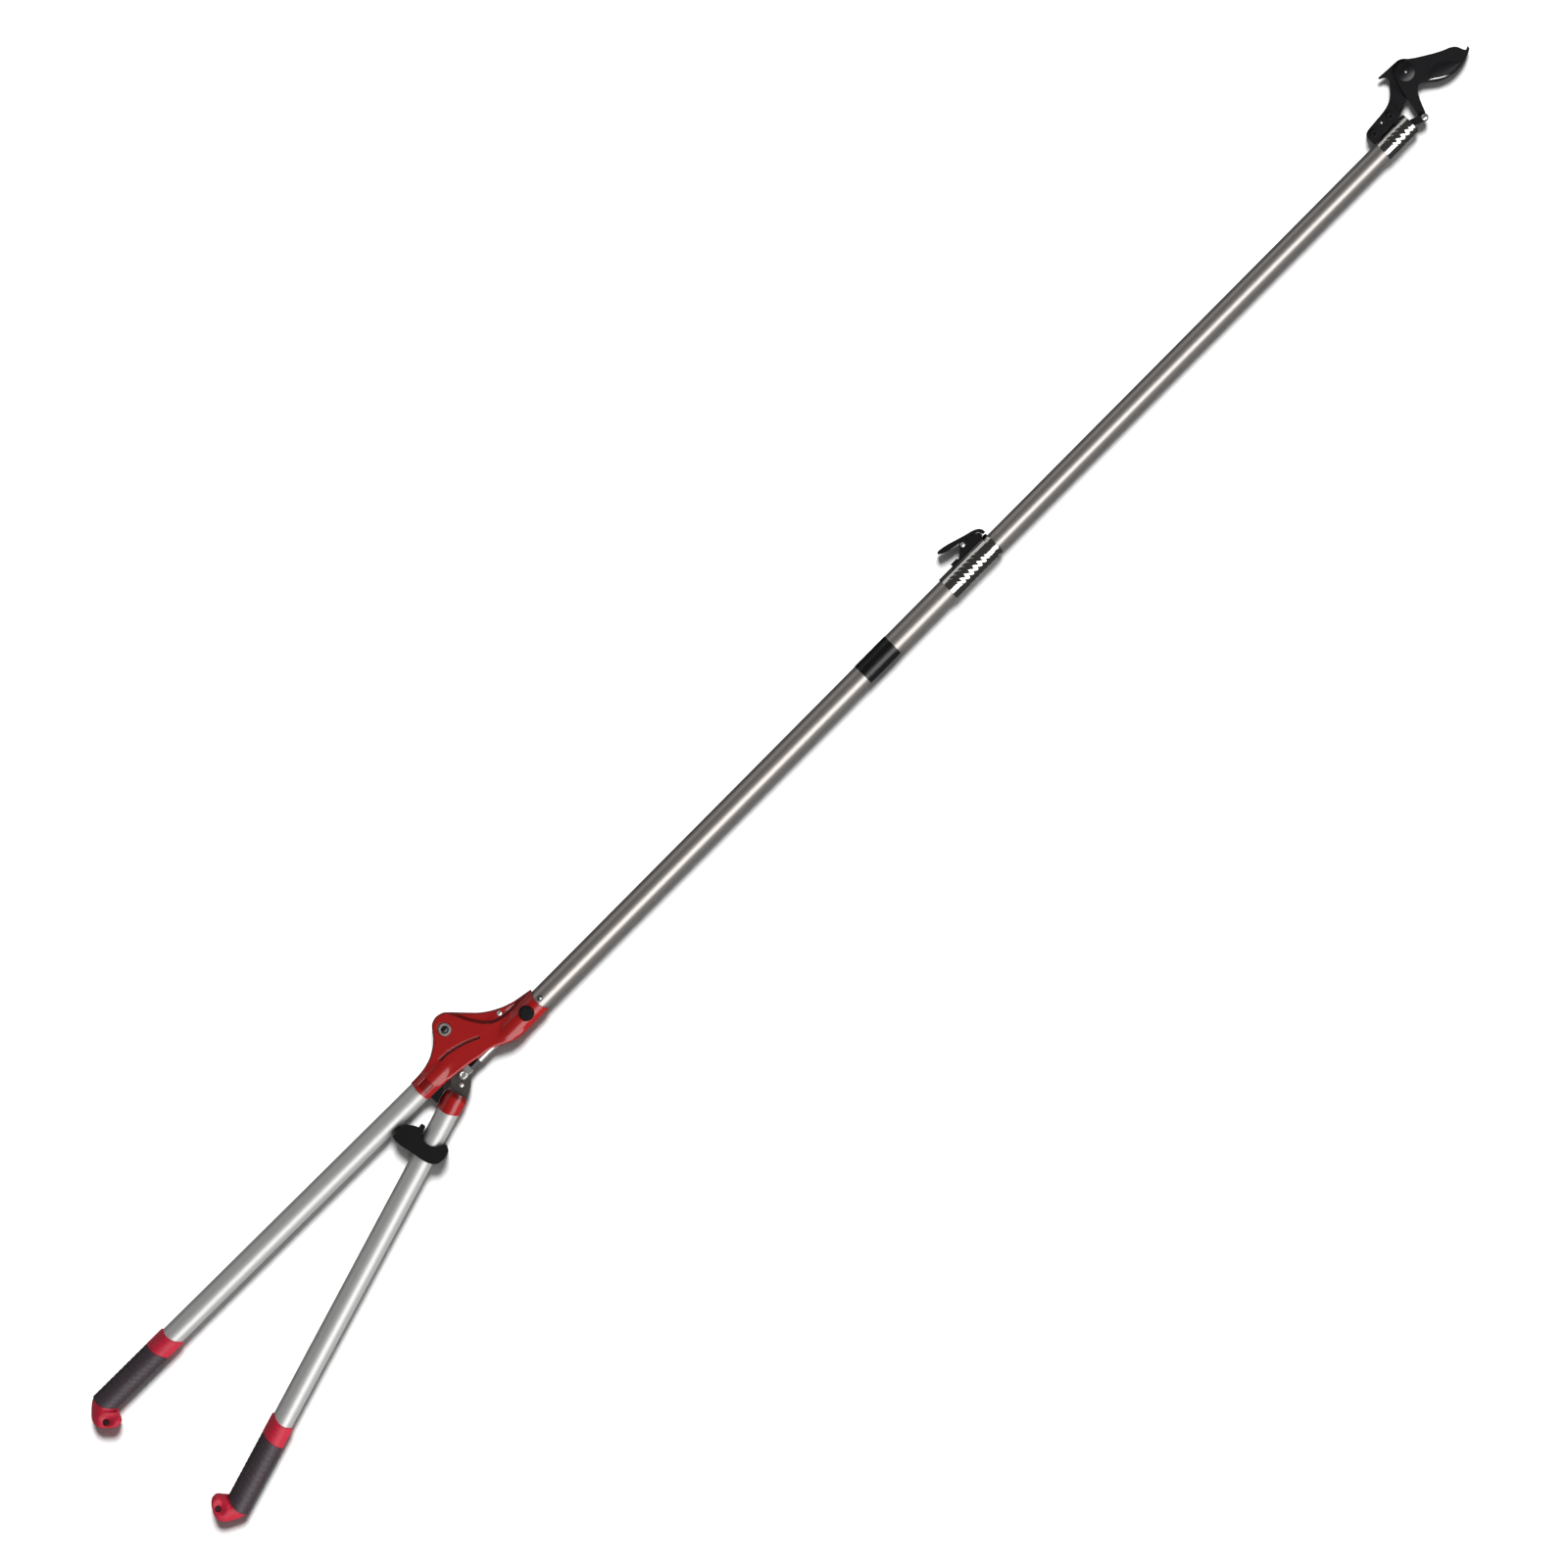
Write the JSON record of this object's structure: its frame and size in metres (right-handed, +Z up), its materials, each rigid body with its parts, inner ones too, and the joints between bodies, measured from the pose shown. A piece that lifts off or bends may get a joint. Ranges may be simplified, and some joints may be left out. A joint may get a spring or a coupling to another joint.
{
  "type": "bypass loppers",
  "caption": "Long telescopic bypass loppers with two gripped handles, a pull rod inside a clamped sliding pole and a hooked bypass cutting head.",
  "frame": {"origin": "bottom centre of the whole tool, lying closed and fully drawn out", "axes": "+X along the pole toward the cutting head, +Y toward the side of the fixed handle and the thumb lever, +Z up out of the plane of the handles"},
  "size_m": [2.4404, 0.2723, 0.036],
  "materials": {
    "red_paint": "gloss",
    "red_plastic": "satin",
    "grip_rubber": "matte",
    "handle_aluminium": "satin",
    "pole_aluminium": "satin",
    "bright_chrome": "polished",
    "black_plastic": "satin",
    "black_coated_steel": "satin",
    "dark_steel": "satin",
    "zinc_steel": "bright",
    "black_bolt": "satin",
    "bronze": "satin"
  },
  "bodies": {
    "pole_and_fixed_handle": {"fixed_handle_tube": "handle_aluminium", "fixed_grip_core": "red_plastic", "fixed_grip_sleeve": "grip_rubber", "housing_front_shell": "red_paint", "housing_back_shell": "red_paint", "main_pivot_bolt": "zinc_steel", "main_pivot_nut": "zinc_steel", "pivot_washer_front": "zinc_steel", "pivot_washer_back": "zinc_steel", "housing_rivet": "zinc_steel", "pole_socket_bolt": "black_bolt", "pole_rivet": "zinc_steel", "rubber_stop": "grip_rubber", "outer_tube": "pole_aluminium", "tube_band": "black_plastic", "clamp_sleeve": "bright_chrome", "lock_bracket": "black_plastic", "lock_pin": "zinc_steel", "lock_spring": "zinc_steel"},
    "moving_handle": {"moving_handle_tube": "handle_aluminium", "moving_grip_core": "red_plastic", "moving_grip_sleeve": "grip_rubber", "moving_socket": "red_paint", "lever_plate": "dark_steel", "pivot_bush": "bronze", "lever_rivet": "zinc_steel", "stop_bumper": "black_plastic"},
    "pull_rod": {"rod_clevis": "zinc_steel", "clevis_pin": "zinc_steel", "rod_lock_nut": "black_coated_steel", "outer_rod": "zinc_steel", "rod_guide": "black_plastic"},
    "inner_pull_rod": {"inner_rod": "zinc_steel", "inner_rod_guide": "black_plastic", "link_fork": "black_coated_steel", "link_pin": "zinc_steel"},
    "extension": {"inner_tube": "pole_aluminium", "rear_bushing": "black_plastic", "head_sleeve": "bright_chrome", "head_casting": "black_coated_steel", "casting_bolt_rear": "black_coated_steel", "casting_bolt_front": "black_coated_steel", "casting_rivet": "zinc_steel", "hook_plate": "black_coated_steel", "blade_bolt": "black_coated_steel", "blade_washer": "black_coated_steel", "blade_nut": "black_coated_steel"},
    "blade": {"cutting_blade": "black_coated_steel"},
    "thumb_lever": {"lock_lever": "black_plastic"},
    "shoe": {"brake_shoe": "black_plastic"}
  },
  "joints": [
    {"name": "handle_open", "type": "hinge", "parent": "pole_and_fixed_handle", "child": "moving_handle", "pos_m": [-0.55882, 0.1173, 0.017], "axis": [0, 0, 1], "range_deg": [0, 42]},
    {"name": "rod_follow", "type": "hinge", "parent": "moving_handle", "child": "pull_rod", "pos_m": [-0.58262, 0.0605, 0.017], "axis": [0, 0, 1], "range_deg": [-42, 0]},
    {"name": "pole_retract", "type": "slide", "parent": "pole_and_fixed_handle", "child": "extension", "axis": [-1, 0, 0], "range_m": [0, 0.62]},
    {"name": "blade_swing", "type": "hinge", "parent": "extension", "child": "blade", "pos_m": [1.14138, 0.1083, 0.017], "axis": [0, 0, 1], "range_deg": [0, 42]},
    {"name": "rod_retract", "type": "slide", "parent": "pull_rod", "child": "inner_pull_rod", "axis": [-1, 0, 0], "range_m": [0, 0.62]},
    {"name": "lock_lever_press", "type": "hinge", "parent": "pole_and_fixed_handle", "child": "thumb_lever", "pos_m": [0.32948, 0.0845, 0.017], "axis": [0, 0, 1], "range_deg": [0, 15], "stiffness_Nm_per_rad": 0.6, "springref_deg": -11.46},
    {"name": "shoe_lift", "type": "slide", "parent": "pole_and_fixed_handle", "child": "shoe", "axis": [0, 1, 0], "range_m": [0, 0.001]}
  ],
  "couplings": [
    {"joint": "rod_follow", "follows": "handle_open", "ratio": -1},
    {"joint": "blade_swing", "follows": "handle_open", "ratio": 1},
    {"joint": "rod_retract", "follows": "pole_retract", "ratio": 1},
    {"joint": "shoe_lift", "follows": "lock_lever_press", "m_per_rad": 0.0038}
  ]
}
